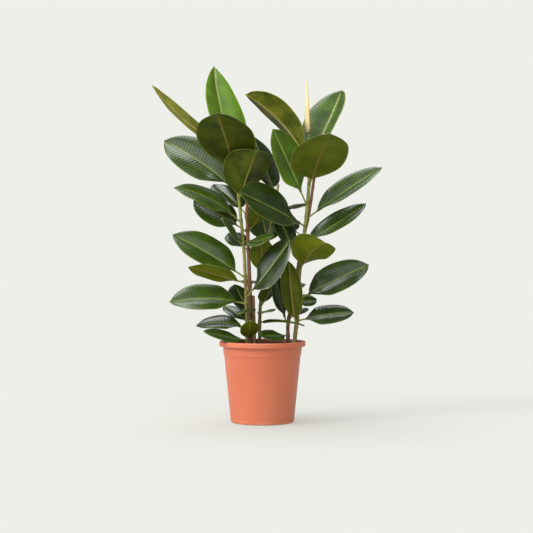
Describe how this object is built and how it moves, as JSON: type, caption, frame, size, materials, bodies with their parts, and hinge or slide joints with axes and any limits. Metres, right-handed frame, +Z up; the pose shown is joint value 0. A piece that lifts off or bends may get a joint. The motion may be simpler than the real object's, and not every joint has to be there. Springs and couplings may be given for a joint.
{
  "type": "potted rubber plant",
  "caption": "Bushy rubber plant with broad glossy oval leaves on upright stems, rooted in dark soil in a round tapered nursery pot with a turned-over rim.",
  "frame": {"origin": "middle of the flat pad under the pot, on the floor, on the pot's axis", "axes": "+Z up along the pot's axis, -Y towards the viewer of the plant's front, +X to the viewer's right"},
  "size_m": [0.5611, 0.375, 0.8812],
  "materials": {
    "terracotta_plastic": "satin",
    "potting_soil": "matte",
    "green_stem": "satin",
    "woody_stem": "matte",
    "bud_sheath": "satin",
    "leaf": "gloss",
    "young_leaf": "gloss"
  },
  "bodies": {
    "root": {"pot": "terracotta_plastic", "soil": "potting_soil", "stem_left_green": "green_stem", "stem_left_woody": "woody_stem", "stem_pruned": "woody_stem", "stem_centre": "green_stem", "stem_right_green": "green_stem", "stem_right_brown": "woody_stem", "bud_right": "bud_sheath", "bud_left": "bud_sheath", "leaf_01": "young_leaf", "leaf_02": "young_leaf", "leaf_03": "leaf", "leaf_04": "leaf", "leaf_05": "leaf", "leaf_06": "leaf", "leaf_07": "leaf", "leaf_08": "leaf", "leaf_09": "leaf", "leaf_10": "leaf", "leaf_11": "leaf", "leaf_12": "leaf", "leaf_13": "leaf", "leaf_14": "leaf", "leaf_15": "leaf", "leaf_16": "leaf", "leaf_17": "leaf", "leaf_18": "leaf", "leaf_19": "leaf", "leaf_20": "leaf", "leaf_21": "leaf", "leaf_22": "leaf", "leaf_23": "leaf", "leaf_24": "leaf", "leaf_25": "leaf", "leaf_26": "leaf", "leaf_27": "leaf", "leaf_28": "leaf", "leaf_29": "leaf", "leaf_30": "leaf", "leaf_31": "leaf", "leaf_32": "leaf", "leaf_33": "leaf", "leaf_34": "leaf", "leaf_35": "leaf", "leaf_36": "leaf", "leaf_37": "leaf", "leaf_38": "leaf", "leaf_39": "leaf", "leaf_40": "leaf", "leaf_41": "young_leaf", "leaf_42": "young_leaf", "leaf_43": "leaf", "leaf_44": "young_leaf", "leaf_45": "leaf", "leaf_46": "leaf", "leaf_47": "leaf", "leaf_48": "leaf", "leaf_49": "leaf", "leaf_50": "leaf"}
  },
  "joints": []
}
